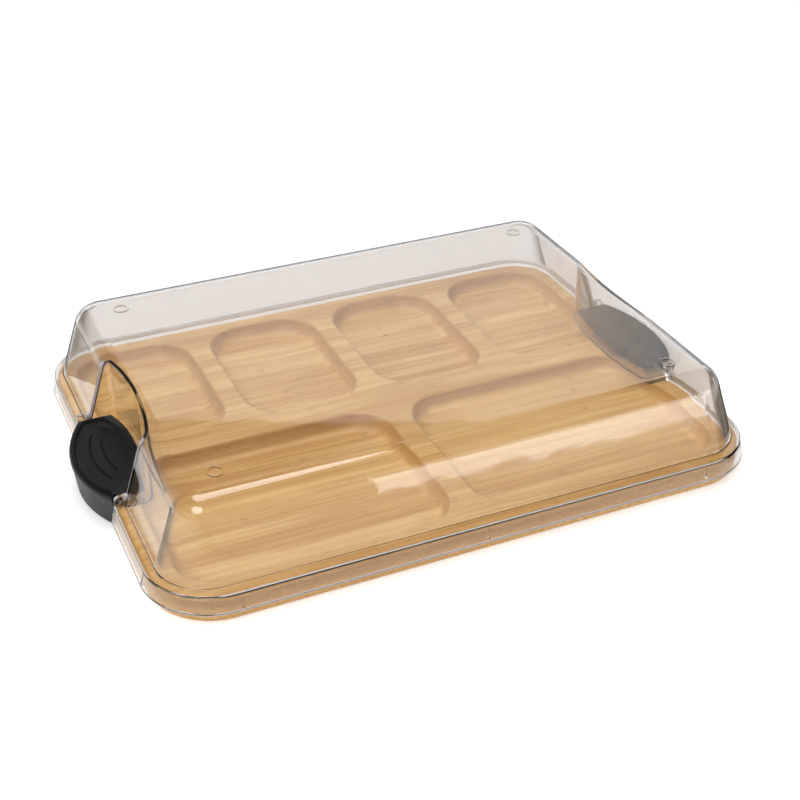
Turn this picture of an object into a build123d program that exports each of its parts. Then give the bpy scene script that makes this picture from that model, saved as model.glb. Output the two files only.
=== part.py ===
from build123d import *
import math
import os

# Chip and dip server: a bamboo board with six wells, a clear lid and two rocker latches.
# All sizes are in millimetres. X runs along the long side, Y across, Z up.
# The origin is at the centre of the board's underside.

# --- lid skirt: the outer rim that drops around the board -------------------
SKIRT_LENGTH = 420.0
SKIRT_WIDTH = 327.4
SKIRT_CORNER = 46.4
SKIRT_BOTTOM_Z = 9.0
SKIRT_TAPER = 13.6
SKIRT_WALL = 2.0

# --- lid ledge and dome ------------------------------------------------------
LEDGE_TOP_Z = 21.0
LEDGE_UNDER_Z = 18.5
LEDGE_EDGE_RADIUS = 1.2
DOME_LENGTH = 402.2
DOME_WIDTH = 305.6
DOME_CORNER = 33.5
DOME_TAPER = 18.0
DOME_TOP_Z = 71.5
DOME_SHOULDER = 16.0
DOME_FOOT_RADIUS = 1.5
DOME_WALL = 2.5

# --- details of the lid --------------------------------------------------------
RING_X = 156.5
RING_Y = 109.5
RING_OUTER_RADIUS = 5.5
RING_INNER_RADIUS = 4.2
RING_HEIGHT = 0.5
GATE_RADIUS = 1.0
GATE_HEIGHT = 0.3
RIB_WIDTH = 1.4
RIB_TOP_Z = LEDGE_UNDER_Z + 0.4
RIB_BOTTOM_Z = SKIRT_BOTTOM_Z + 0.6
RIB_BOARD_GAP = 0.5
LONG_SIDE_RIBS = (-160.0, 0.0, 160.0)
SHORT_SIDE_RIBS = (-118.0, 118.0)

# --- finger niche in each end of the lid, with a fin on each side that holds the pin ------
NICHE_BACK_MID_X = 176.8
NICHE_BACK_END_X = 182.4
NICHE_HALF_WIDTH = 49.5
NICHE_CORNER = 5.0
NICHE_WALL = 2.5
FIN_THICKNESS = 3.2
FIN_INNER_X = 190.0
FIN_OUTER_X = 206.8
FIN_TOP_Z = 28.8
FIN_CORNER = 3.0

# --- board -------------------------------------------------------------------------
BOARD_LENGTH = 410.8
BOARD_WIDTH = 318.2
BOARD_THICKNESS = 18.0
BOARD_CORNER = 42.0
BOARD_TOP_RADIUS = 3.0
BOARD_BOTTOM_RADIUS = 3.0
WELL_DEPTH = 11.0
WELL_CORNER = 27.0
WELL_FLOOR_RADIUS = 9.0
WELL_LIP_RADIUS = 2.2
SMALL_WELL_PITCH = 99.0
SMALL_WELL_LENGTH = 82.5
SMALL_WELL_WIDTH = 128.0
SMALL_WELL_Y = 78.0
LARGE_WELL_X = 98.5
LARGE_WELL_LENGTH = 179.0
LARGE_WELL_WIDTH = 135.0
LARGE_WELL_Y = -74.0
HOOK_RECESS_DEPTH = 6.5
HOOK_RECESS_HEIGHT = 4.0
HOOK_RECESS_HALF_WIDTH = 44.0

# --- latch: the pivot -------------------------------------------------------------------
PIN_X = 203.0
PIN_Z = 22.8
PIN_RADIUS = 1.25
PIN_RUNNING_GAP = 0.05
PIN_HALF_LENGTH = 52.0
SPRING_WIRE_RADIUS = 0.3
SPRING_COIL_RADIUS = 1.85
SPRING_PITCH = 0.9
SPRING_TURNS = 12

# --- latch: the grip plate, a leaf-shaped cap with a dished top ---------------------------
PLATE_HALF_WIDTH = 46.5
PLATE_OUTER_END_X = 207.5
PLATE_OUTER_MID_X = 222.0
PLATE_INNER_END_X = 184.0
PLATE_INNER_MID_X = 179.0
PLATE_BOTTOM_Z = 22.2
PLATE_INNER_BOTTOM_Z = 24.2
PLATE_INNER_BOTTOM_X = 199.0
PLATE_PIVOT_Z = 28.4
PLATE_SLOPE = 8.0
PLATE_CROWN_Z = 32.2
PLATE_CROWN_RADIUS = 220.0
PLATE_WALL = 2.2
PLATE_OUTER_ROLL = 3.8
PLATE_EDGE_RADIUS = 1.2
PLATE_PIN_GAP = 0.35
DISH_DEPTH = 1.9
DISH_BASE_Z = 25.0
DISH_OUTER_RIM = 4.4
DISH_INNER_RIM = 8.2
DISH_END_RIM = 3.6
DISH_FLARE = -35.0
CAVITY_DEPTH = 3.35
GROOVE_RADIUS = 0.7
GROOVES = ((13.8, 27.0), (21.8, 20.0))
GROOVE_SAG = 130.0

# --- latch: the lever, an outer box with a deck, two hinge blocks and a hook --------------
LEVER_INSET = 0.6
LEVER_BOTTOM_Z = 0.8
LEVER_WALL = 2.4
LEVER_TAPER = 6.0
LEVER_INNER_X = 206.6
LEVER_FLOOR = 2.6
LEVER_TOP_WALL = 2.2
DECK_INNER_X = 200.0
DECK_BOTTOM_Z = 18.9
DECK_TOP_Z = 20.55
BLOCK_START_Y = 30.0
BLOCK_END_Y = 40.0
DECK_END_Y = 44.0
BLOCK_INNER_X = 200.0
HOOK_TIP_X = 203.2
HOOK_HALF_WIDTH = 40.0


def rounded_block(length, width, corner, z_low, z_high, taper=0.0):
    """A rounded rectangle extruded from z_low to z_high, narrowing upwards by taper."""
    outline = Plane.XY.offset(z_low) * RectangleRounded(length, width, corner)
    return extrude(outline, z_high - z_low, taper=taper)


def box_between(x_low, x_high, y_low, y_high, z_low, z_high):
    """A plain box given by its limits."""
    centre = ((x_low + x_high) / 2, (y_low + y_high) / 2, (z_low + z_high) / 2)
    return Pos(*centre) * Box(x_high - x_low, y_high - y_low, z_high - z_low)


def cylinder_along_y(radius, y_low, y_high, x, z):
    """A round bar along Y."""
    bar = Rot(90, 0, 0) * Cylinder(radius, y_high - y_low)
    return Pos(x, (y_low + y_high) / 2, z) * bar


def placed(solid, side):
    """The right-hand part as made, or its mirror image for the left-hand end."""
    return solid if side == "right" else mirror(solid, about=Plane.YZ)


def top_edges(solid):
    return solid.faces().sort_by(Axis.Z)[-1].edges()


def bottom_edges(solid):
    return solid.faces().sort_by(Axis.Z)[0].edges()


def well(length, width, x, y):
    """The cutter of one well: a rounded pocket with a ball-nosed floor edge."""
    floor_z = BOARD_THICKNESS - WELL_DEPTH
    pocket = rounded_block(length, width, WELL_CORNER, floor_z, BOARD_THICKNESS + 1)
    pocket = fillet(bottom_edges(pocket), WELL_FLOOR_RADIUS)
    return Pos(x, y, 0) * pocket


def well_centres():
    """Length, width and centre of each of the six wells."""
    small = [(SMALL_WELL_LENGTH, SMALL_WELL_WIDTH, step * SMALL_WELL_PITCH, SMALL_WELL_Y)
             for step in (-1.5, -0.5, 0.5, 1.5)]
    large = [(LARGE_WELL_LENGTH, LARGE_WELL_WIDTH, side * LARGE_WELL_X, LARGE_WELL_Y)
             for side in (-1, 1)]
    return small + large


def make_board():
    """The bamboo board with six wells and a hook recess under each end."""
    board = rounded_block(BOARD_LENGTH, BOARD_WIDTH, BOARD_CORNER, 0, BOARD_THICKNESS)
    board = fillet(bottom_edges(board), BOARD_BOTTOM_RADIUS)
    board = fillet(top_edges(board), BOARD_TOP_RADIUS)
    for length, width, x, y in well_centres():
        board -= well(length, width, x, y)
    rims = board.faces().filter_by(Plane.XY).sort_by(Axis.Z)[-1].inner_wires().edges()
    board = fillet(rims, WELL_LIP_RADIUS)
    half = BOARD_LENGTH / 2
    for side in (-1, 1):
        ends = sorted((side * (half - HOOK_RECESS_DEPTH), side * (half + 1)))
        board -= box_between(*ends, -HOOK_RECESS_HALF_WIDTH, HOOK_RECESS_HALF_WIDTH,
                             -1, HOOK_RECESS_HEIGHT)
    return board


def niche_block(side, growth):
    """The pocket at one end of the lid, grown outwards by a wall when asked."""
    half = NICHE_HALF_WIDTH + growth
    front = SKIRT_LENGTH / 2 + 10
    end_x = NICHE_BACK_END_X - growth
    back = ThreePointArc((end_x, -half), (NICHE_BACK_MID_X - growth, 0), (end_x, half))
    far_side = Line((end_x, half), (front, half))
    mouth = Line((front, half), (front, -half))
    near_side = Line((front, -half), (end_x, -half))
    plan = make_face([back, far_side, mouth, near_side])
    block = extrude(Plane.XY.offset(-1) * plan, DOME_TOP_Z + 6)
    corners = block.edges().filter_by(Axis.Z).sort_by(Axis.X)[:2]
    block = fillet(corners, NICHE_CORNER + growth)
    return placed(block, "right" if side > 0 else "left")


def lid_outside():
    """The lid's outer form: skirt, flat ledge and domed top."""
    skirt = rounded_block(SKIRT_LENGTH, SKIRT_WIDTH, SKIRT_CORNER,
                          SKIRT_BOTTOM_Z, LEDGE_TOP_Z, SKIRT_TAPER)
    skirt = fillet(top_edges(skirt), LEDGE_EDGE_RADIUS)
    dome = rounded_block(DOME_LENGTH, DOME_WIDTH, DOME_CORNER,
                         LEDGE_TOP_Z - 1, DOME_TOP_Z, DOME_TAPER)
    dome = fillet(top_edges(dome), DOME_SHOULDER)
    outside = skirt + dome
    ledge = outside.faces().filter_by(Plane.XY).sort_by(Axis.Z)[-2]
    return fillet(ledge.inner_wires().edges(), DOME_FOOT_RADIUS)


def lid_inside():
    """The space under the lid, one wall thickness inside its outer form."""
    skirt = rounded_block(SKIRT_LENGTH - 2 * SKIRT_WALL, SKIRT_WIDTH - 2 * SKIRT_WALL,
                          SKIRT_CORNER - SKIRT_WALL, SKIRT_BOTTOM_Z, LEDGE_UNDER_Z, SKIRT_TAPER)
    below = rounded_block(SKIRT_LENGTH - 2 * SKIRT_WALL, SKIRT_WIDTH - 2 * SKIRT_WALL,
                          SKIRT_CORNER - SKIRT_WALL, SKIRT_BOTTOM_Z - 2, SKIRT_BOTTOM_Z)
    dome = rounded_block(DOME_LENGTH - 2 * DOME_WALL, DOME_WIDTH - 2 * DOME_WALL,
                         DOME_CORNER - DOME_WALL, LEDGE_UNDER_Z - 1,
                         DOME_TOP_Z - DOME_WALL, DOME_TAPER)
    dome = fillet(top_edges(dome), DOME_SHOULDER - DOME_WALL)
    return skirt + below + dome


def locating_ribs():
    """Small upright ribs inside the skirt that centre the lid on the board."""
    board_x = BOARD_LENGTH / 2 + RIB_BOARD_GAP
    board_y = BOARD_WIDTH / 2 + RIB_BOARD_GAP
    skirt_x = SKIRT_LENGTH / 2 - 1
    skirt_y = SKIRT_WIDTH / 2 - 1
    half = RIB_WIDTH / 2
    ribs = []
    for x in LONG_SIDE_RIBS:
        rib = box_between(x - half, x + half, board_y, skirt_y, RIB_BOTTOM_Z, RIB_TOP_Z)
        ribs += [rib, mirror(rib, about=Plane.XZ)]
    for y in SHORT_SIDE_RIBS:
        rib = box_between(board_x, skirt_x, y - half, y + half, RIB_BOTTOM_Z, RIB_TOP_Z)
        ribs += [rib, mirror(rib, about=Plane.YZ)]
    return ribs


def fins():
    """Upright fins on the ledge beside each niche, which hold the ends of the hinge pins."""
    shapes = []
    for side in (-1, 1):
        ends = sorted((side * NICHE_HALF_WIDTH, side * (NICHE_HALF_WIDTH + FIN_THICKNESS)))
        fin = box_between(FIN_INNER_X, FIN_OUTER_X, *ends, LEDGE_UNDER_Z, FIN_TOP_Z)
        outer_top = fin.edges().filter_by(Axis.Y).group_by(Axis.Z)[-1].sort_by(Axis.X)[-1:]
        fin = fillet(outer_top, FIN_CORNER)
        shapes += [fin, placed(fin, "left")]
    return shapes


def top_marks():
    """Four small stacking rings and the moulding gate on the flat top."""
    marks = []
    for x in (-RING_X, RING_X):
        for y in (-RING_Y, RING_Y):
            ring = Cylinder(RING_OUTER_RADIUS, RING_HEIGHT + 1) - Cylinder(RING_INNER_RADIUS, 5)
            marks.append(Pos(x, y, DOME_TOP_Z + (RING_HEIGHT - 1) / 2) * ring)
    gate = Pos(0, 0, DOME_TOP_Z) * Cylinder(GATE_RADIUS, 2 * GATE_HEIGHT)
    return marks + [gate]


def make_lid():
    """The clear lid, with a finger niche and a latch opening in each end."""
    outside = lid_outside()
    inside = lid_inside()
    for side in (-1, 1):
        outside -= niche_block(side, 0)
        inside -= niche_block(side, NICHE_WALL)
    for fin in fins():
        outside += fin
    lid = outside - inside
    for rib in locating_ribs():
        lid += rib & outside
    for mark in top_marks():
        lid += mark
    lid -= rounded_block(BOARD_LENGTH + 2 * RIB_BOARD_GAP, BOARD_WIDTH + 2 * RIB_BOARD_GAP,
                         BOARD_CORNER + RIB_BOARD_GAP, -1, LEDGE_UNDER_Z)
    for x in (-PIN_X, PIN_X):
        lid -= cylinder_along_y(PIN_RADIUS, -PIN_HALF_LENGTH, PIN_HALF_LENGTH, x, PIN_Z)
    return lid


def leaf(outer_inset, inner_inset, end_inset):
    """The leaf-shaped plan of the grip plate, with straight ends and bowed sides."""
    end_y = PLATE_HALF_WIDTH - end_inset
    outer_end = PLATE_OUTER_END_X - outer_inset
    outer_mid = PLATE_OUTER_MID_X - outer_inset
    inner_end = PLATE_INNER_END_X + inner_inset
    inner_mid = PLATE_INNER_MID_X + inner_inset
    outer = ThreePointArc((outer_end, -end_y), (outer_mid, 0), (outer_end, end_y))
    far_end = Line((outer_end, end_y), (inner_end, end_y))
    inner = ThreePointArc((inner_end, end_y), (inner_mid, 0), (inner_end, -end_y))
    near_end = Line((inner_end, -end_y), (outer_end, -end_y))
    return make_face([outer, far_end, inner, near_end])


def slope_z(x, depth):
    """The height of the plate's sloping top, or of a surface at some depth below it."""
    return PLATE_PIVOT_Z - depth - (x - PIN_X) * math.tan(math.radians(PLATE_SLOPE))


def on_slope(solid, depth):
    """A solid made round the origin, set on the plate's sloping top above the pin."""
    return Pos(PIN_X, 0, PLATE_PIVOT_Z - depth) * Rot(0, PLATE_SLOPE, 0) * solid


def under_top(depth):
    """Everything below the plate's top form: a plane that slopes outwards and a long arch."""
    slope = on_slope(box_between(-60, 60, -60, 60, -60, 0), depth)
    arch = Rot(0, 90, 0) * Cylinder(PLATE_CROWN_RADIUS, 120)
    return slope & (Pos(PIN_X, 0, PLATE_CROWN_Z - PLATE_CROWN_RADIUS - depth) * arch)


def rolled_edge():
    """A drum on the slope whose large top radius rolls the plate's outer edge downwards."""
    sagitta = PLATE_OUTER_MID_X - PLATE_OUTER_END_X
    radius = (PLATE_HALF_WIDTH ** 2 + sagitta ** 2) / (2 * sagitta) + LEVER_INSET
    drum = Pos(0, 0, -20) * Cylinder(radius, 40)
    drum = fillet(top_edges(drum), PLATE_OUTER_ROLL)
    centre = PLATE_OUTER_MID_X + LEVER_INSET - radius - PIN_X
    return on_slope(Pos(centre, 0, 0) * drum, 0)


def is_rim(edge):
    """True for the plate's top edges along its two ends and its inner bow."""
    middle = edge.center()
    rise = abs((edge @ 0).Z - (edge @ 1).Z)
    at_end = abs(middle.Y) > PLATE_HALF_WIDTH - 0.1
    at_inner_bow = middle.X < PLATE_INNER_END_X
    return middle.Z > PLATE_INNER_BOTTOM_Z and rise < edge.length / 2 and (at_end or at_inner_bow)


def grip_groove(offset, half_width):
    """One round-bottomed finger groove that follows the plate's outer edge."""
    mid_x = PLATE_OUTER_MID_X - offset
    end_x = mid_x - half_width ** 2 / GROOVE_SAG
    end_z = slope_z(end_x, DISH_DEPTH)
    path = ThreePointArc((end_x, -half_width, end_z), (mid_x, 0, slope_z(mid_x, DISH_DEPTH)),
                         (end_x, half_width, end_z))
    tool = sweep(Plane(path @ 0, z_dir=path % 0) * Circle(GROOVE_RADIUS), path=path)
    for end in (0, 1):
        tool += Pos(*(path @ end)) * Sphere(GROOVE_RADIUS)
    return tool


def make_grip_plate():
    """The thumb plate: a hollow cap with a dish, two grooves and a rolled outer edge."""
    height = PLATE_CROWN_Z - PLATE_BOTTOM_Z
    start = Plane.XY.offset(PLATE_BOTTOM_Z)
    plate = extrude(start * leaf(0, 0, 0), height) & under_top(0)
    plate = fillet(plate.edges().filter_by(is_rim), PLATE_EDGE_RADIUS)
    plate = plate & rolled_edge()
    dish_plan = leaf(DISH_OUTER_RIM, DISH_INNER_RIM, DISH_END_RIM)
    dish = extrude(Plane.XY.offset(DISH_BASE_Z) * dish_plan, height, taper=DISH_FLARE)
    plate -= dish - under_top(DISH_DEPTH)
    for offset, half_width in GROOVES:
        plate -= grip_groove(offset, half_width)
    cavity = extrude(start * leaf(PLATE_WALL, PLATE_WALL, PLATE_WALL), height)
    plate -= cavity & under_top(CAVITY_DEPTH)
    plate -= box_between(PLATE_INNER_MID_X - 1, PLATE_INNER_BOTTOM_X, -PLATE_HALF_WIDTH - 1,
                         PLATE_HALF_WIDTH + 1, 0, PLATE_INNER_BOTTOM_Z)
    return plate - cylinder_along_y(PIN_RADIUS + PLATE_PIN_GAP, -PLATE_HALF_WIDTH - 1,
                                    PLATE_HALF_WIDTH + 1, PIN_X, PIN_Z)


def lever_plan(inset, inner_x):
    """The D-shaped plan of the lever's outer box, bowed outwards and straight inside."""
    end_y = PLATE_HALF_WIDTH - inset
    end_x = PLATE_OUTER_END_X - inset
    mid_x = PLATE_OUTER_MID_X - inset
    bow = ThreePointArc((end_x, -end_y), (mid_x, 0), (end_x, end_y))
    far_end = Line((end_x, end_y), (inner_x, end_y))
    inner = Line((inner_x, end_y), (inner_x, -end_y))
    near_end = Line((inner_x, -end_y), (end_x, -end_y))
    return make_face([bow, far_end, inner, near_end])


def lever_box():
    """The lever's outer box: a bowed wall that narrows downwards, open towards the board."""
    start = Plane.XY.offset(PLATE_BOTTOM_Z)
    cavity_start = Plane.XY.offset(PLATE_BOTTOM_Z - LEVER_TOP_WALL)
    height = PLATE_BOTTOM_Z - LEVER_BOTTOM_Z
    deep_x = LEVER_INNER_X - 20
    outside = extrude(start * lever_plan(LEVER_INSET, deep_x), -height, taper=LEVER_TAPER)
    outside = fillet(bottom_edges(outside).sort_by(Axis.X)[-1:], 1.5)
    cavity = extrude(cavity_start * lever_plan(LEVER_INSET + LEVER_WALL, deep_x),
                     LEVER_TOP_WALL + LEVER_FLOOR - height, taper=LEVER_TAPER)
    limit = box_between(LEVER_INNER_X, PLATE_OUTER_MID_X, -PLATE_HALF_WIDTH, PLATE_HALF_WIDTH,
                        0, PLATE_BOTTOM_Z)
    return (outside & limit) - cavity


def hook():
    """The lip that reaches under the board, with a rounded tip."""
    lip = box_between(HOOK_TIP_X, LEVER_INNER_X + 1, -HOOK_HALF_WIDTH, HOOK_HALF_WIDTH,
                      LEVER_BOTTOM_Z, LEVER_BOTTOM_Z + LEVER_FLOOR)
    tip = lip.edges().filter_by(Axis.Y).sort_by(Axis.X)[:2]
    return fillet(tip, LEVER_FLOOR / 2 - 0.1)


def make_lever():
    """The rocker: outer box, hook, deck under the grip plate, and two hinge blocks."""
    lever = lever_box() + hook()
    lever += box_between(DECK_INNER_X, LEVER_INNER_X + 1, -DECK_END_Y, DECK_END_Y,
                         DECK_BOTTOM_Z, DECK_TOP_Z)
    lever += box_between(LEVER_INNER_X, LEVER_INNER_X + 1, -DECK_END_Y, DECK_END_Y,
                         DECK_BOTTOM_Z, PLATE_BOTTOM_Z)
    for side in (-1, 1):
        ends = sorted((side * BLOCK_START_Y, side * BLOCK_END_Y))
        block = box_between(BLOCK_INNER_X, LEVER_INNER_X, *ends, DECK_BOTTOM_Z, PLATE_PIVOT_Z)
        lever += block & under_top(CAVITY_DEPTH)
    return lever - cylinder_along_y(PIN_RADIUS + PIN_RUNNING_GAP, -PLATE_HALF_WIDTH,
                                    PLATE_HALF_WIDTH, PIN_X, PIN_Z)


def make_pin():
    """The steel hinge pin, with rounded ends."""
    pin = cylinder_along_y(PIN_RADIUS, -PIN_HALF_LENGTH, PIN_HALF_LENGTH, PIN_X, PIN_Z)
    return fillet(pin.edges().filter_by(GeomType.CIRCLE), 0.3)


def make_spring():
    """The coil spring round the middle of the pin, in the space under the grip plate."""
    height = SPRING_PITCH * SPRING_TURNS
    coil = Helix(SPRING_PITCH, height, SPRING_COIL_RADIUS)
    wire = sweep(Plane(coil @ 0, z_dir=coil % 0) * Circle(SPRING_WIRE_RADIUS), path=coil)
    return Pos(PIN_X, height / 2, PIN_Z) * Rot(90, 0, 0) * wire


def write_part(name, solid):
    solid.label = name
    export_step(solid, f"parts/{name}.step")


os.makedirs("parts", exist_ok=True)
write_part("tray_board", make_board())
write_part("lid_shell", make_lid())
LATCH_PIECES = {
    "latch_lever": make_lever(),
    "grip_plate": make_grip_plate(),
    "hinge_pin": make_pin(),
    "torsion_spring": make_spring(),
}
for piece_name, piece in LATCH_PIECES.items():
    for end in ("left", "right"):
        write_part(f"{piece_name}_{end}", placed(piece, end))
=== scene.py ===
import math

import bpy
from mathutils import Matrix, Vector

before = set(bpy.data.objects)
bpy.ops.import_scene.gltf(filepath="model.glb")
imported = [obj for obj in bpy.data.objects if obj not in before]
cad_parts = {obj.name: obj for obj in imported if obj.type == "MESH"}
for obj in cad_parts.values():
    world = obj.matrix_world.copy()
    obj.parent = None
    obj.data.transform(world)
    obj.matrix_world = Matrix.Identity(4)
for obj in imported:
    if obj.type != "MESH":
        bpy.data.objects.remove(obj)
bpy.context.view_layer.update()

# --- camera: long lens, three-quarter view from the front left -------------------------
CAMERA_AZIMUTH = math.radians(-24.0)
CAMERA_ELEVATION = math.radians(32.1)
CAMERA_ROLL = math.radians(0.14)
CAMERA_DISTANCE = 0.99
CAMERA_TARGET = Vector((0.0072, -0.0087, 0.0220))
CAMERA_LENS = 63.53            # this and the sensor in millimetres, the rest in metres
SENSOR_WIDTH = 36.0

# --- bamboo: narrow strips glued side by side, with the grain along X (metres) ---------
STRIP_WIDTH = 0.0058
NODE_SPACING = 0.46
NODE_HALF_LENGTH = 0.0032
NODE_WOBBLE = 0.004
BAMBOO_RELIEF = 0.00025
BAMBOO_LIGHT = (0.775, 0.548, 0.238)
BAMBOO_MIDDLE = (0.680, 0.438, 0.150)
BAMBOO_DARK = (0.475, 0.250, 0.060)
# painted shade for the steep sides of the wells and round the board
BAMBOO_SLOPE_SHADE = (0.385, 0.190, 0.045)
BAMBOO_NODE = (0.26, 0.10, 0.022)
BAMBOO_END_GRAIN = (0.48, 0.25, 0.075)

# --- clear plastic: its tint, and the shade, highlights and light painted on it --------
LID_TINT = (0.778, 0.757, 0.745)
# painted shade for the dome where it is seen at a grazing angle
LID_GRAZING_SHADE = (0.66, 0.62, 0.64)
# painted shade for the dome's thick corners seen at a slant
LID_CORNER_SHADE = (0.06, 0.045, 0.03)
LID_SHADOW_TINT = (0.93, 0.91, 0.90)
# painted highlight for the thin lines along the skirt's top and foot
LID_EDGE_HIGHLIGHT = (0.93, 0.92, 0.93)
# painted light grey for the cut rims of the finger niches
LID_NICHE_RIM_LIGHT = (0.42, 0.385, 0.43)
LID_IOR = 1.49
LID_RELIEF = 0.0006

# --- clear plastic: where the lid's rims are (metres) ----------------------------------
SKIRT_FOOT_Z = 0.009
LEDGE_TOP_Z = 0.021
LEDGE_HALF_LENGTH = 0.2055     # the ledge's flat part, just inside its rounded edge
LEDGE_HALF_WIDTH = 0.159
LEDGE_CORNER_SUM = 0.3415      # |x| + |y| at the ledge's rounded corners
DOME_START_Z = 0.024
DOME_HALF_LENGTH = 0.2011      # the end wall's outer face, at the ledge's height
DOME_LEAN = 0.325              # how far that wall leans in for each metre up
NICHE_HALF_WIDTH = 0.0525      # over the niche's own walls
NICHE_CLEARANCE = 0.058        # the painted shade on the corners starts this far from the middle

# --- clear plastic: how far each painted line is solid, and where it has faded out (metres) ----
SKIRT_TOP_HIGHLIGHT = (0.0003, 0.0008)
SKIRT_FOOT_HIGHLIGHT = (0.0002, 0.0007)
NICHE_RIM_DEPTH = (0.0016, 0.0026)

# --- studio (metres, and brightness) ---------------------------------------------------
FLOOR_HALF_SIZE = 3.0
FLOOR_GLOW = 0.32
ROOM_SIDES = 0.48
ROOM_OVERHEAD = 0.20
ROOM_SIDES_TOP = 0.05          # the sides end at this height on a unit sphere
ROOM_OVERHEAD_FOOT = 0.60      # and the overhead part starts at this one
CARD_HEIGHT = 0.045
CARD_BLACK = (0.012, 0.010, 0.008)


class Shader:
    """Builds one material's nodes. A value may be a number, a colour or another node's output."""

    def __init__(self, name):
        self.material = bpy.data.materials.new(name)
        self.material.use_nodes = True
        self.nodes = self.material.node_tree.nodes
        self.surface = self.nodes["Principled BSDF"]
        self.output = self.nodes["Material Output"]
        self.position = self.add("ShaderNodeTexCoord").outputs["Object"]

    def wire(self, socket, value):
        if isinstance(value, bpy.types.NodeSocket):
            self.material.node_tree.links.new(value, socket)
        elif isinstance(value, tuple) and len(value) == 3 and len(socket.default_value) == 4:
            socket.default_value = (*value, 1.0)
        else:
            socket.default_value = value

    def add(self, kind, inputs=None, **settings):
        node = self.nodes.new(kind)
        for name, value in settings.items():
            setattr(node, name, value)
        for name, value in (inputs or {}).items():
            self.wire(node.inputs[name], value)
        return node

    def set(self, **values):
        for name, value in values.items():
            self.wire(self.surface.inputs[name.replace("_", " ")], value)

    def math(self, operation, first, second=0.0):
        return self.add("ShaderNodeMath", {0: first, 1: second}, operation=operation).outputs[0]

    def absolute(self, value):
        return self.math("ABSOLUTE", value)

    def gap(self, first, second):
        """How far apart two values are."""
        return self.absolute(self.math("SUBTRACT", first, second))

    def product(self, first, *others):
        """All the values multiplied, for combining masks."""
        for other in others:
            first = self.math("MULTIPLY", first, other)
        return first

    def axes(self, vector):
        return self.add("ShaderNodeSeparateXYZ", {0: vector}).outputs

    def normal_axes(self):
        return self.axes(self.add("ShaderNodeNewGeometry").outputs["Normal"])

    def stretched(self, scale, shift=(0.0, 0.0, 0.0)):
        """The position, scaled along each axis and moved."""
        mapping = self.add("ShaderNodeMapping", {"Vector": self.position, "Scale": scale})
        self.wire(mapping.inputs["Location"], shift)
        return mapping.outputs[0]

    def noise(self, vector, scale=1.0, detail=3.0, roughness=0.55):
        inputs = {"Vector": vector, "Scale": scale, "Detail": detail, "Roughness": roughness}
        return self.add("ShaderNodeTexNoise", inputs).outputs["Fac"]

    def fade(self, value, low, high, out_low=0.0, out_high=1.0):
        """A smooth step from out_low to out_high as the value goes from low to high."""
        inputs = {"Value": value, "From Min": low, "From Max": high,
                  "To Min": out_low, "To Max": out_high}
        node = self.add("ShaderNodeMapRange", inputs, interpolation_type="SMOOTHSTEP")
        return node.outputs[0]

    def mix(self, factor, first, second):
        node = self.add("ShaderNodeMix", data_type="RGBA")
        for socket, value in zip((node.inputs[0], node.inputs[6], node.inputs[7]),
                                 (factor, first, second)):
            self.wire(socket, value)
        return node.outputs[2]

    def bump(self, height, strength, distance):
        inputs = {"Height": height, "Strength": strength, "Distance": distance}
        return self.add("ShaderNodeBump", inputs).outputs[0]


# --- bamboo ----------------------------------------------------------------------------
def bamboo_grain(s, streak, fibre):
    """Patches of light and middle tone, crossed by darker streaks and fibres."""
    broad = s.noise(s.stretched((2.6, 55.0, 55.0)), detail=2.0)
    colour = s.mix(s.fade(streak, 0.34, 0.66), BAMBOO_DARK, BAMBOO_MIDDLE)
    colour = s.mix(s.fade(broad, 0.36, 0.64), colour, BAMBOO_LIGHT)
    colour = s.mix(s.fade(streak, 0.40, 0.60, 0.32, 0.0), colour, BAMBOO_DARK)
    return s.mix(s.fade(fibre, 0.35, 0.65, 0.22, 0.0), colour, BAMBOO_DARK)


def culm_nodes(s, x, shift):
    """A mask of short speckled bands, one every NODE_SPACING, at another place on each strip."""
    along = s.math("ADD", s.math("DIVIDE", x, NODE_SPACING), s.math("MULTIPLY", shift, 5.0))
    distance = s.math("MULTIPLY", s.math("PINGPONG", along, 0.5), NODE_SPACING)
    uneven = s.math("SUBTRACT", s.noise(s.stretched((120.0, 260.0, 260.0))), 0.5)
    distance = s.math("ADD", distance, s.math("MULTIPLY", uneven, NODE_WOBBLE))
    band = s.fade(distance, NODE_HALF_LENGTH * 0.35, NODE_HALF_LENGTH, 1.0, 0.0)
    speck = s.noise(s.stretched((420.0, 1500.0, 1500.0)), detail=2.0, roughness=0.7)
    return s.product(band, s.fade(speck, 0.48, 0.66, 0.06, 0.75))


def paint_slope_shade(s, colour, normal):
    """Painted shade: darker sides in the wells and round the board, with lighter flecks."""
    slope_shade = s.fade(s.absolute(normal[2]), 0.55, 0.97, 0.75, 0.0)
    fleck = s.noise(s.stretched((300.0, 700.0, 700.0), (1.0, 1.0, 1.0)), detail=2.0)
    return s.mix(s.product(slope_shade, s.fade(fleck, 0.35, 0.60, 1.0, 0.55)), colour, BAMBOO_SLOPE_SHADE)


def add_end_grain(s, colour, normal):
    """Fine pores on the faces that cut across the grain."""
    pores = s.noise(s.stretched((300.0, 1300.0, 1300.0), (0.0, 2.0, 0.0)), detail=2.0)
    end_colour = s.mix(s.fade(pores, 0.40, 0.62), BAMBOO_END_GRAIN, BAMBOO_MIDDLE)
    end = s.fade(s.absolute(normal[0]), 0.55, 0.95)
    return s.mix(s.product(end, 0.75), colour, end_colour)


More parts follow.
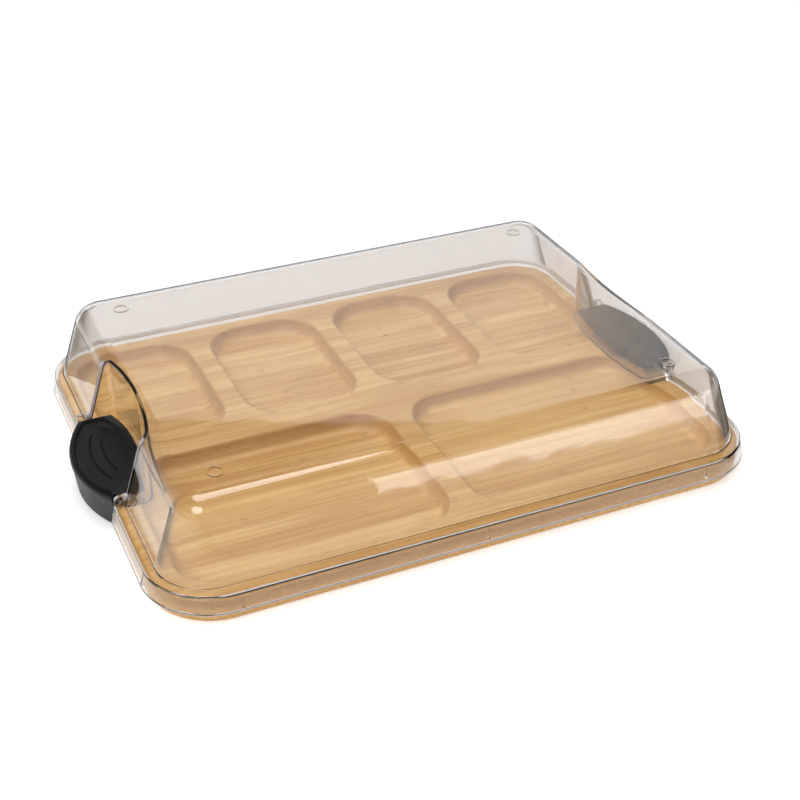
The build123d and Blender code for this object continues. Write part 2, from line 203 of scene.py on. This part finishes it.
def bamboo():
    """Oiled bamboo: glued strips, long fibres, darker culm nodes and end grain, with painted shade
    on the steep sides.
    """
    s = Shader("bamboo")
    place = s.axes(s.position)
    normal = s.normal_axes()
    across = s.math("DIVIDE", place[1], STRIP_WIDTH)
    strip = s.math("FLOOR", across)
    chance = s.add("ShaderNodeTexWhiteNoise", {"W": strip}, noise_dimensions="1D")
    tone = chance.outputs["Value"]
    shift = s.axes(chance.outputs["Color"])[1]
    streak = s.noise(s.stretched((9.0, 330.0, 330.0), (3.1, 0.0, 0.0)), detail=4.0)
    fibre = s.noise(s.stretched((30.0, 1500.0, 1500.0), (7.7, 0.0, 0.0)), detail=2.0)
    layer = s.noise(s.stretched((14.0, 40.0, 900.0), (0.0, 5.0, 0.0)), detail=2.0)
    seam = s.fade(s.math("PINGPONG", across, 0.5), 0.0, 0.05, 0.30, 0.0)

    colour = bamboo_grain(s, streak, fibre)
    colour = s.mix(s.fade(tone, 0.0, 1.0, 0.26, 0.0), colour, BAMBOO_DARK)
    colour = s.mix(s.fade(layer, 0.40, 0.62, 0.26, 0.0), colour, BAMBOO_DARK)
    colour = s.mix(seam, colour, BAMBOO_DARK)
    colour = s.mix(culm_nodes(s, place[0], shift), colour, BAMBOO_NODE)
    colour = paint_slope_shade(s, colour, normal)
    colour = add_end_grain(s, colour, normal)

    relief = s.math("ADD", s.math("MULTIPLY", streak, 0.5), s.math("MULTIPLY", fibre, 0.5))
    relief = s.math("SUBTRACT", relief, s.math("MULTIPLY", seam, 0.6))
    s.set(Base_Color=colour, Roughness=s.fade(streak, 0.3, 0.7, 0.50, 0.38),
          Normal=s.bump(relief, 0.35, BAMBOO_RELIEF), Coat_Weight=0.12, Coat_Roughness=0.28)
    return s.material


# --- clear lid -------------------------------------------------------------------------
def painted_corner_shade(s, normal, facing, aside, dome):
    """A mask of painted shade on the dome's rounded corners seen at a slant, clear of the finger
    niches.
    """
    turn = s.absolute(s.math("MULTIPLY", normal[0], normal[1]))
    beside = s.fade(aside, NICHE_CLEARANCE, NICHE_CLEARANCE + 0.006)
    return s.product(s.fade(turn, 0.03, 0.14), s.fade(facing, 0.32, 0.58), dome, beside)


def skirt_edge_highlights(s, normal, along, aside, height):
    """A mask of two thin painted highlights round the outer skirt, at its top and at its foot."""
    past_end = s.math("SUBTRACT", along, LEDGE_HALF_LENGTH)
    past_side = s.math("SUBTRACT", aside, LEDGE_HALF_WIDTH)
    past_corner = s.math("SUBTRACT", s.math("ADD", along, aside), LEDGE_CORNER_SUM)
    outside = s.math("MAXIMUM", s.math("MAXIMUM", past_end, past_side), past_corner)
    top_highlight = s.fade(s.gap(height, LEDGE_TOP_Z), *SKIRT_TOP_HIGHLIGHT, 0.85, 0.0)
    foot_highlight = s.fade(s.gap(height, SKIRT_FOOT_Z), *SKIRT_FOOT_HIGHLIGHT, 0.55, 0.0)
    upright = s.fade(s.absolute(normal[2]), 0.75, 0.95, 1.0, 0.0)
    return s.product(s.math("MAXIMUM", top_highlight, foot_highlight), upright,
                     s.fade(outside, 0.0, 0.001))


def niche_rim_light(s, normal, along, aside, height, dome):
    """A mask of painted light grey on the cut rims where a finger niche opens the dome's leaning
    end wall.
    """
    lean = s.math("MULTIPLY", s.math("SUBTRACT", height, LEDGE_TOP_Z), DOME_LEAN)
    in_wall = s.fade(s.gap(s.math("ADD", along, lean), DOME_HALF_LENGTH),
                     *NICHE_RIM_DEPTH, 0.8, 0.0)
    in_niche = s.fade(aside, NICHE_HALF_WIDTH, NICHE_HALF_WIDTH + 0.0005, 1.0, 0.0)
    cut_face = s.fade(s.absolute(normal[0]), 0.86, 0.92, 1.0, 0.0)
    return s.product(in_wall, in_niche, cut_face, dome)


def clear_lid():
    """Clear, slightly smoky moulded plastic, with painted shade on its corners and at grazing
    angles, painted highlights along the skirt and painted light on the niche rims.
    """
    s = Shader("clear_lid")
    place = s.axes(s.position)
    along = s.absolute(place[0])
    aside = s.absolute(place[1])
    height = place[2]
    normal = s.normal_axes()
    flow = s.noise(s.stretched((34.0, 34.0, 52.0)), detail=1.0)
    haze = s.noise(s.stretched((90.0, 90.0, 90.0)), detail=3.0)
    facing = s.add("ShaderNodeLayerWeight", {"Blend": 0.5}).outputs["Facing"]
    dome = s.fade(height, DOME_START_Z, DOME_START_Z + 0.004)

    # painted shade: the dome turns grey where it is seen at a grazing angle
    grazing_shade = s.product(s.fade(facing, 0.88, 0.98, 0.0, 0.6), dome)
    corner_shade = painted_corner_shade(s, normal, facing, aside, dome)
    edge_highlight = skirt_edge_highlights(s, normal, along, aside, height)
    cut_rim_light = niche_rim_light(s, normal, along, aside, height, dome)
    colour = s.mix(grazing_shade, LID_TINT, LID_GRAZING_SHADE)
    colour = s.mix(corner_shade, colour, LID_CORNER_SHADE)
    colour = s.mix(edge_highlight, colour, LID_EDGE_HIGHLIGHT)
    colour = s.mix(cut_rim_light, colour, LID_NICHE_RIM_LIGHT)
    # the painted highlight and painted light lines let less light through, so their painted colour
    # shows
    painted_rim_lines = s.math("MAXIMUM", edge_highlight, cut_rim_light)
    s.set(Base_Color=colour, Roughness=s.fade(haze, 0.3, 0.7, 0.012, 0.035),
          Normal=s.bump(flow, 0.09, LID_RELIEF), IOR=LID_IOR,
          Transmission_Weight=s.math("SUBTRACT", 1.0, painted_rim_lines))

    # shadow rays pass straight through, so the board is lit as if through thin plastic
    open_air = s.add("ShaderNodeBsdfTransparent", {"Color": LID_SHADOW_TINT})
    path = s.add("ShaderNodeLightPath")
    both = s.add("ShaderNodeMixShader", {0: path.outputs["Is Shadow Ray"],
                                         1: s.surface.outputs[0], 2: open_air.outputs[0]})
    s.wire(s.output.inputs["Surface"], both.outputs[0])
    return s.material


# --- latch parts and floor -------------------------------------------------------------
def black_plastic(name, shade, roughness, grain, relief, gloss):
    """Moulded black plastic with a fine spark-eroded texture and faint handling marks."""
    s = Shader(name)
    texture = s.noise(s.position, scale=grain, detail=2.0)
    smears = s.noise(s.stretched((60.0, 45.0, 60.0)), detail=3.0)
    dust = s.noise(s.position, scale=grain * 0.35, detail=1.0)
    colour = s.mix(s.fade(smears, 0.35, 0.75), (shade, shade, shade * 1.03),
                   (shade * 1.7, shade * 1.7, shade * 1.75))
    colour = s.mix(s.fade(dust, 0.70, 0.80, 0.0, 0.25), colour, (0.10, 0.10, 0.10))
    s.set(Base_Color=colour, Roughness=s.fade(smears, 0.3, 0.7, roughness, roughness + 0.12),
          Normal=s.bump(texture, relief, 0.0001), Specular_IOR_Level=gloss)
    return s.material


def steel(name, shade, roughness):
    """Drawn steel wire with fine scratches along Y."""
    s = Shader(name)
    scratches = s.noise(s.stretched((2600.0, 120.0, 2600.0)), detail=2.0)
    colour = s.mix(scratches, (shade * 0.75,) * 3, (shade, shade, shade * 1.02))
    s.set(Base_Color=colour, Metallic=1.0,
          Roughness=s.fade(scratches, 0.3, 0.7, roughness, roughness + 0.18),
          Normal=s.bump(scratches, 0.15, 0.00005))
    return s.material


def pale_floor():
    """The plain studio surface, softly lit from below like a light table."""
    s = Shader("studio_floor")
    mottle = s.noise(s.position, scale=6.0, detail=2.0)
    s.set(Base_Color=s.mix(mottle, (0.90, 0.90, 0.90), (0.92, 0.92, 0.92)), Roughness=0.7,
          Specular_IOR_Level=0.1, Emission_Color=(1.0, 1.0, 1.0), Emission_Strength=FLOOR_GLOW)
    return s.material


def finish_nodes():
    """Gives every CAD node its material."""
    lever = black_plastic("latch_plastic", shade=0.009, roughness=0.42, grain=2600.0,
                          relief=0.16, gloss=0.36)
    grip = black_plastic("grip_rubber", shade=0.004, roughness=0.36, grain=3400.0,
                         relief=0.20, gloss=0.15)
    pin = steel("pin_steel", shade=0.62, roughness=0.24)
    spring = steel("spring_steel", shade=0.52, roughness=0.30)
    finishes = {"tray_board": bamboo(), "lid_shell": clear_lid()}
    for end in ("left", "right"):
        finishes["latch_lever_" + end] = lever
        finishes["grip_plate_" + end] = grip
        finishes["hinge_pin_" + end] = pin
        finishes["torsion_spring_" + end] = spring
    for node, finish in finishes.items():
        materials = bpy.data.objects[node].data.materials
        materials.clear()
        materials.append(finish)


# --- camera and studio -----------------------------------------------------------------
def facing_turn(direction):
    """The turn that points a camera or a lamp along a direction."""
    return direction.to_track_quat("-Z", "Y").to_matrix().to_4x4()


def make_camera():
    """The camera, aimed at the middle of the object."""
    back = Vector((math.sin(CAMERA_AZIMUTH) * math.cos(CAMERA_ELEVATION),
                   -math.cos(CAMERA_AZIMUTH) * math.cos(CAMERA_ELEVATION),
                   math.sin(CAMERA_ELEVATION)))
    data = bpy.data.cameras.new("camera")
    data.lens = CAMERA_LENS
    data.sensor_width = SENSOR_WIDTH
    camera = bpy.data.objects.new("camera", data)
    bpy.context.collection.objects.link(camera)
    location = CAMERA_TARGET + back * CAMERA_DISTANCE
    camera.matrix_world = (Matrix.Translation(location) @ facing_turn(-back)
                           @ Matrix.Rotation(CAMERA_ROLL, 4, "Z"))
    bpy.context.scene.camera = camera


def softbox(name, location, target, width, height, radiance, shape="RECTANGLE"):
    """One soft studio light aimed at a point, with the brightness of its face given."""
    data = bpy.data.lights.new(name, "AREA")
    data.shape = shape
    data.size = width
    data.size_y = height
    fill = math.pi / 4.0 if shape == "ELLIPSE" else 1.0
    data.energy = radiance * math.pi * fill * width * height
    lamp = bpy.data.objects.new(name, data)
    bpy.context.collection.objects.link(lamp)
    direction = Vector(target) - Vector(location)
    lamp.matrix_world = Matrix.Translation(location) @ facing_turn(direction)
    lamp.visible_camera = False


def sheet(name, corners, material):
    """A flat four-cornered piece of the studio."""
    mesh = bpy.data.meshes.new(name)
    mesh.from_pydata(corners, [], [(0, 1, 2, 3)])
    piece = bpy.data.objects.new(name, mesh)
    bpy.context.collection.objects.link(piece)
    piece.data.materials.append(material)
    return piece


def dark_card(name, start, end):
    """A low black card on the floor that only shows in reflections: it darkens the corners."""
    (x0, y0), (x1, y1) = start, end
    black = Shader(name)
    black.set(Base_Color=CARD_BLACK, Roughness=0.9, Specular_IOR_Level=0.0)
    card = sheet(name, [(x0, y0, 0), (x1, y1, 0), (x1, y1, CARD_HEIGHT), (x0, y0, CARD_HEIGHT)],
                 black.material)
    card.visible_camera = False
    card.visible_diffuse = False
    card.visible_shadow = False
    card.visible_transmission = False


def make_floor():
    """One wide flat floor at the object's foot."""
    half = FLOOR_HALF_SIZE
    floor = sheet("floor", [(-half, -half, 0), (half, -half, 0), (half, half, 0), (-half, half, 0)],
                  pale_floor())


def make_world():
    """An even white room, brighter at the sides than overhead."""
    world = bpy.data.worlds.new("world")
    world.use_nodes = True
    nodes = world.node_tree.nodes
    links = world.node_tree.links
    split = nodes.new("ShaderNodeSeparateXYZ")
    links.new(nodes.new("ShaderNodeTexCoord").outputs["Generated"], split.inputs[0])
    glow = nodes.new("ShaderNodeMapRange")
    glow.interpolation_type = "SMOOTHSTEP"
    glow.inputs["From Min"].default_value = ROOM_SIDES_TOP
    glow.inputs["From Max"].default_value = ROOM_OVERHEAD_FOOT
    glow.inputs["To Min"].default_value = ROOM_SIDES
    glow.inputs["To Max"].default_value = ROOM_OVERHEAD
    links.new(split.outputs[2], glow.inputs["Value"])
    links.new(glow.outputs[0], nodes["Background"].inputs["Strength"])
    nodes["Background"].inputs["Color"].default_value = (1.0, 1.0, 1.0, 1.0)
    bpy.context.scene.world = world


def make_studio():
    """The floor, the room, two cards beside the lid's corners and four softboxes."""
    make_floor()
    make_world()
    dark_card("card_right", start=(0.226, -0.18), end=(0.226, 0.08))
    dark_card("card_left", start=(-0.27, 0.179), end=(-0.11, 0.179))
    softbox("overhead", location=(-0.1, 0.25, 1.5), target=(0.0, 0.0, 0.0),
            width=1.2, height=0.9, radiance=4.8, shape="ELLIPSE")
    softbox("front_right", location=(0.86, -1.20, 0.13), target=(0.10, -0.12, 0.04),
            width=1.15, height=0.27, radiance=3.8)
    softbox("front_left", location=(-0.95, -0.95, 1.15), target=(-0.15, -0.10, 0.04),
            width=0.95, height=0.90, radiance=5.6, shape="ELLIPSE")
    softbox("back", location=(0.70, 1.65, 0.64), target=(0.0, 0.0, 0.05),
            width=2.8, height=1.15, radiance=0.85)
    bpy.context.scene.view_settings.view_transform = "Standard"


make_camera()
finish_nodes()
make_studio()
